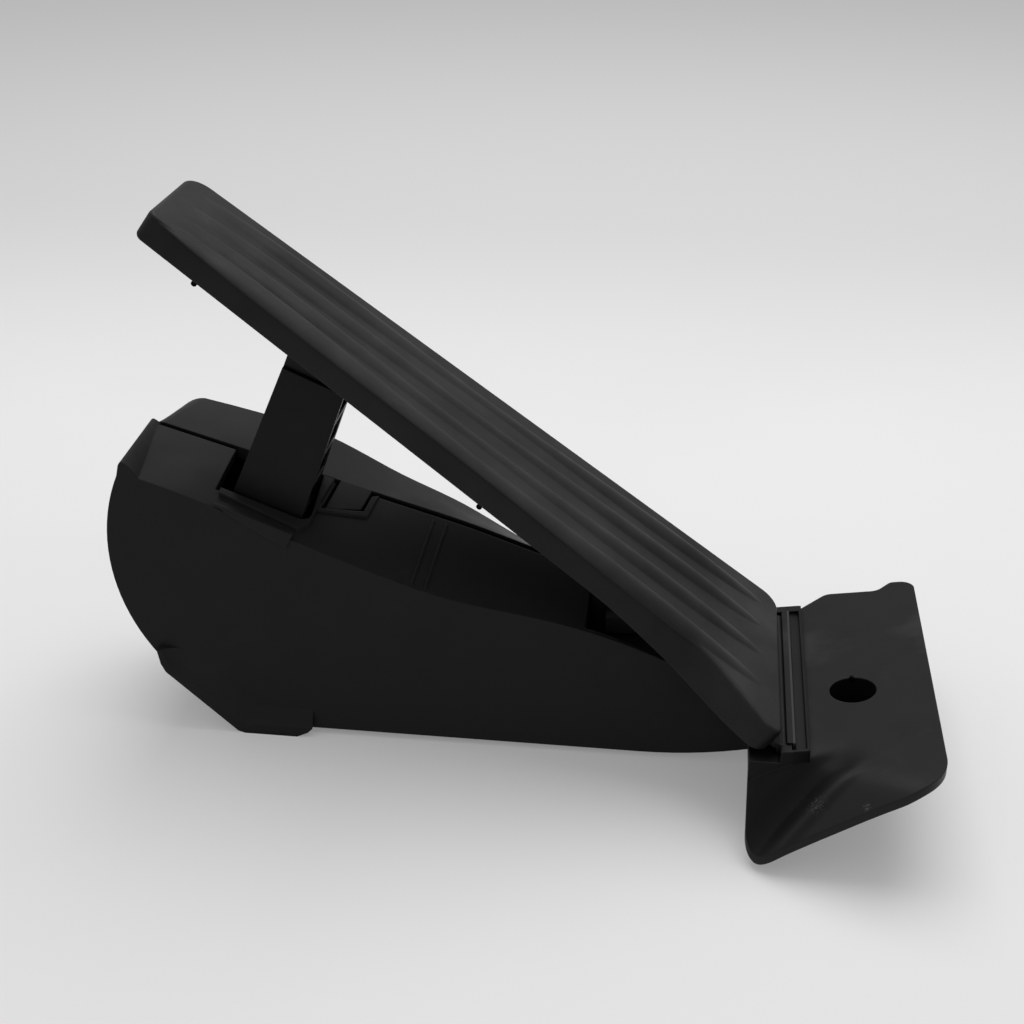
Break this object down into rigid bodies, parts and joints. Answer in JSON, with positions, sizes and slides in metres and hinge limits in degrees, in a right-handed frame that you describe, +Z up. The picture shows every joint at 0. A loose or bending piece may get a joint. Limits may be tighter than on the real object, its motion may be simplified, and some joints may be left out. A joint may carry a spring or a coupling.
{
  "type": "accelerator pedal",
  "caption": "Floor-hinged accelerator pedal with a ridged flaring pad, pressed heel plate and a housing whose sprung lever arm carries the position sensor.",
  "frame": {"origin": "middle of the footprint, at the height of the surface that the module stands on", "axes": "+X along the car floor towards the driver's heel, +Y across the car away from the flared side of the pad, +Z up"},
  "size_m": [0.2745, 0.1342, 0.1828],
  "materials": {
    "pad_plastic": "fine satin grain",
    "plate_plastic": "satin, lightly scuffed",
    "housing_plastic": "satin",
    "lever_plastic": "satin",
    "slide_plastic": "smooth",
    "steel": "zinc plated",
    "magnet": "sintered",
    "bush_brass": "drawn",
    "rubber": "matte",
    "board": "solder mask",
    "chip": "moulded"
  },
  "bodies": {
    "base": {"heel_plate": "plate_plastic", "hinge_strip": "plate_plastic", "housing_shell": "housing_plastic", "housing_cover": "housing_plastic", "pivot_bush_near": "bush_brass", "pivot_bush_far": "bush_brass", "friction_washer_near": "slide_plastic", "friction_washer_far": "slide_plastic", "return_spring_outer": "steel", "return_spring_inner": "steel", "spring_seat": "slide_plastic", "travel_stop": "rubber", "sensor_lid": "housing_plastic", "lid_seal": "rubber", "lid_screws": "steel", "connector_pins": "bush_brass", "sensor_board": "board", "sensor_chips": "chip", "cover_screws": "steel", "heel_screws": "steel"},
    "pedal": {"pedal_pad": "pad_plastic", "wear_strip": "slide_plastic"},
    "lever": {"drive_lever": "lever_plastic", "slide_shoe": "slide_plastic", "lever_pin": "steel", "magnet_cup": "lever_plastic", "sensor_magnet": "magnet", "rest_bumper": "rubber"}
  },
  "joints": [
    {"name": "pad_hinge", "type": "hinge", "parent": "base", "child": "pedal", "pos_m": [0.08925, 0, 0.0296], "axis": [0, -1, 0], "range_deg": [0, 10], "stiffness_Nm_per_rad": 6, "springref_deg": -28.65},
    {"name": "lever_pivot", "type": "hinge", "parent": "base", "child": "lever", "pos_m": [0.03125, 0, 0.027], "axis": [0, -1, 0], "range_deg": [0, 13.4], "deforming": ["return_spring_outer", "return_spring_inner"]}
  ],
  "couplings": [
    {"joint": "lever_pivot", "follows": "pad_hinge", "ratio": 1.3369}
  ]
}
